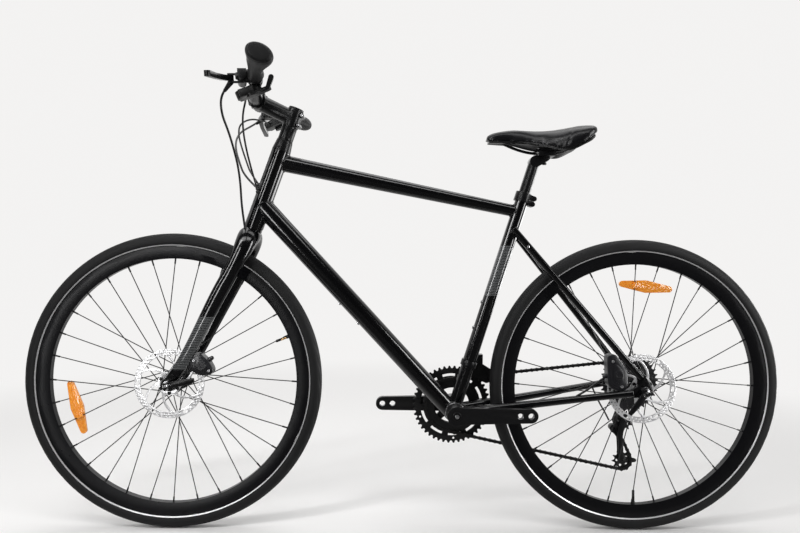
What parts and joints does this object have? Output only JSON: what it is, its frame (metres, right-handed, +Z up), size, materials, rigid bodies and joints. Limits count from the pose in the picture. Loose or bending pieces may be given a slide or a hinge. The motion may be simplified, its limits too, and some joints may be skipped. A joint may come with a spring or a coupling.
{
  "type": "hybrid bicycle",
  "caption": "Black hybrid bicycle with flat handlebar, hydraulic disc brakes, derailleur gears, quick-release wheels and wheel reflectors, supplied without pedals.",
  "frame": {"origin": "on the ground, midway between the two axles", "axes": "+X forward, +Y to the rider's left, +Z up"},
  "size_m": [1.782, 0.6652, 1.0398],
  "materials": {
    "frame_paint": "gloss black paint over aluminium",
    "black_alloy": "black anodised, satin",
    "bearing_steel": "plated steel",
    "rotor_steel": "ground stainless steel",
    "chain_steel": "dark plated steel",
    "spoke_black": "black stainless wire",
    "tyre_rubber": "moulded rubber with a reflective stripe",
    "grip_rubber": "soft moulded rubber",
    "black_plastic": "moulded, fine grain",
    "hose_plastic": "extruded sheath",
    "amber_lens": "clear moulded lens with prisms",
    "saddle_cover": "smooth synthetic cover"
  },
  "bodies": {
    "frame": {"head_tube": "frame_paint", "top_tube": "frame_paint", "down_tube": "frame_paint", "seat_tube": "frame_paint", "chainstays": "frame_paint", "seatstays": "frame_paint", "rear_dropouts": "frame_paint", "headset_bearings": "bearing_steel", "seat_clamp": "black_alloy", "bottom_bracket": "bearing_steel", "rear_caliper": "black_alloy", "rear_axle": "bearing_steel", "front_derailleur_body": "black_alloy", "chain": "chain_steel", "rear_brake_hose": "hose_plastic", "shift_cables": "hose_plastic"},
    "steering": {"fork": "frame_paint", "front_caliper": "black_alloy", "front_axle": "bearing_steel", "stem": "black_alloy", "headset_stack": "black_alloy", "handlebar": "black_alloy", "grips": "grip_rubber", "brake_master_cylinders": "black_alloy", "shifter_pods": "black_plastic", "front_brake_hose": "hose_plastic"},
    "left_lever": {"left_brake_lever": "black_alloy"},
    "right_lever": {"right_brake_lever": "black_alloy"},
    "left_shifter": {"left_thumb_lever": "black_plastic"},
    "right_shifter": {"right_thumb_lever": "black_plastic"},
    "front_release": {"front_qr_lever": "bearing_steel"},
    "rear_release": {"rear_qr_lever": "bearing_steel"},
    "front_wheel": {"front_tyre": "tyre_rubber", "front_rim": "black_alloy", "front_spokes": "spoke_black", "front_hub": "black_alloy", "front_rotor": "rotor_steel", "front_reflector": "amber_lens"},
    "rear_wheel": {"rear_tyre": "tyre_rubber", "rear_rim": "black_alloy", "rear_spokes": "spoke_black", "rear_hub": "black_alloy", "rear_rotor": "rotor_steel", "rear_reflector": "amber_lens"},
    "sprockets": {"cassette": "bearing_steel"},
    "crank": {"crank_spindle": "bearing_steel", "left_crank_arm": "black_alloy", "right_crank_arm": "black_alloy", "chainrings": "chain_steel"},
    "changer_bracket": {"derailleur_bracket": "black_alloy"},
    "changer_link": {"derailleur_link": "black_alloy"},
    "changer_knuckle": {"derailleur_knuckle": "black_alloy"},
    "changer_cage": {"derailleur_cage": "black_alloy"},
    "guide_wheel": {"guide_pulley": "black_plastic"},
    "tension_wheel": {"tension_pulley": "black_plastic"},
    "front_changer": {"front_derailleur_cage": "bearing_steel"},
    "saddle": {"seatpost": "black_alloy", "saddle_rails": "bearing_steel", "saddle_shell": "black_plastic", "saddle_cushion": "saddle_cover"}
  },
  "joints": [
    {"name": "steering_turn", "type": "hinge", "parent": "frame", "child": "steering", "pos_m": [0.36303, 0, 0.71043], "axis": [-0.3289, 0, 0.9444], "range_deg": [-60, 60], "deforming": ["rear_brake_hose", "shift_cables"]},
    {"name": "front_wheel_spin", "type": "hinge", "parent": "steering", "child": "front_wheel", "pos_m": [0.545, 0, 0.346], "axis": [0, 1, 0], "continuous": true},
    {"name": "rear_wheel_spin", "type": "hinge", "parent": "frame", "child": "rear_wheel", "pos_m": [-0.545, 0, 0.346], "axis": [0, 1, 0], "continuous": true},
    {"name": "crank_spin", "type": "hinge", "parent": "frame", "child": "crank", "pos_m": [-0.11459, 0, 0.283], "axis": [0, 1, 0], "continuous": true, "deforming": ["chain"]},
    {"name": "sprocket_spin", "type": "hinge", "parent": "frame", "child": "sprockets", "pos_m": [-0.545, 0, 0.346], "axis": [0, 1, 0], "continuous": true, "deforming": ["chain"]},
    {"name": "left_brake_squeeze", "type": "hinge", "parent": "steering", "child": "left_lever", "pos_m": [0.3775, 0.18231, 1.00876], "axis": [0.0363, 0.1913, 0.9809], "range_deg": [0, 22], "stiffness_Nm_per_rad": 2.5},
    {"name": "right_brake_squeeze", "type": "hinge", "parent": "steering", "child": "right_lever", "pos_m": [0.3775, -0.18231, 1.00876], "axis": [-0.0363, 0.1913, -0.9809], "range_deg": [0, 22], "stiffness_Nm_per_rad": 2.5},
    {"name": "left_shift_push", "type": "hinge", "parent": "steering", "child": "left_shifter", "pos_m": [0.33733, 0.17606, 0.97905], "axis": [0.4066, 0.0237, 0.9133], "range_deg": [0, 28], "stiffness_Nm_per_rad": 0.6},
    {"name": "right_shift_push", "type": "hinge", "parent": "steering", "child": "right_shifter", "pos_m": [0.33733, -0.17606, 0.97905], "axis": [-0.4066, 0.0237, -0.9133], "range_deg": [0, 28], "stiffness_Nm_per_rad": 0.6},
    {"name": "front_release_open", "type": "hinge", "parent": "steering", "child": "front_release", "pos_m": [0.545, 0.0675, 0.346], "axis": [-0.2079, 0, -0.9781], "range_deg": [0, 165]},
    {"name": "rear_release_open", "type": "hinge", "parent": "frame", "child": "rear_release", "pos_m": [-0.545, 0.084, 0.346], "axis": [0.7986, 0, 0.6018], "range_deg": [0, 165]},
    {"name": "changer_swing", "type": "hinge", "parent": "frame", "child": "changer_bracket", "pos_m": [-0.558, -0.0705, 0.316], "axis": [0, 1, 0], "range_deg": [-4, 20], "stiffness_Nm_per_rad": 6, "deforming": ["shift_cables", "chain"]},
    {"name": "changer_shift", "type": "hinge", "parent": "changer_bracket", "child": "changer_link", "pos_m": [-0.547, -0.0664, 0.296], "axis": [0.7501, 0.4331, 0.4998], "range_deg": [-31, 9.5], "deforming": ["shift_cables", "chain"]},
    {"name": "changer_level", "type": "hinge", "parent": "changer_link", "child": "changer_knuckle", "pos_m": [-0.522, -0.052, 0.246], "axis": [0.7501, 0.4331, 0.4998], "range_deg": [-9.5, 31], "deforming": ["shift_cables", "chain"]},
    {"name": "cage_swing", "type": "hinge", "parent": "changer_knuckle", "child": "changer_cage", "pos_m": [-0.514, -0.035, 0.23], "axis": [0, 1, 0], "range_deg": [-50, 12], "stiffness_Nm_per_rad": 2, "deforming": ["chain"]},
    {"name": "guide_pulley_spin", "type": "hinge", "parent": "changer_cage", "child": "guide_wheel", "pos_m": [-0.536, -0.035, 0.25], "axis": [0, 1, 0], "continuous": true, "deforming": ["chain"]},
    {"name": "tension_pulley_spin", "type": "hinge", "parent": "changer_cage", "child": "tension_wheel", "pos_m": [-0.53346, -0.035, 0.15303], "axis": [0, 1, 0], "continuous": true, "deforming": ["chain"]},
    {"name": "front_changer_shift", "type": "hinge", "parent": "frame", "child": "front_changer", "pos_m": [-0.17, -0.025, 0.405], "axis": [-1, 0, 0], "range_deg": [0, 11.5], "deforming": ["chain"]},
    {"name": "seat_height", "type": "slide", "parent": "frame", "child": "saddle", "axis": [-0.2974, 0, 0.9548], "range_m": [-0.06, 0.05]}
  ],
  "couplings": [
    {"joint": "sprocket_spin", "follows": "crank_spin", "ratio": 1.2308},
    {"joint": "guide_pulley_spin", "follows": "crank_spin", "ratio": -2.9091},
    {"joint": "tension_pulley_spin", "follows": "crank_spin", "ratio": 2.9091},
    {"joint": "changer_level", "follows": "changer_shift", "ratio": -1}
  ]
}
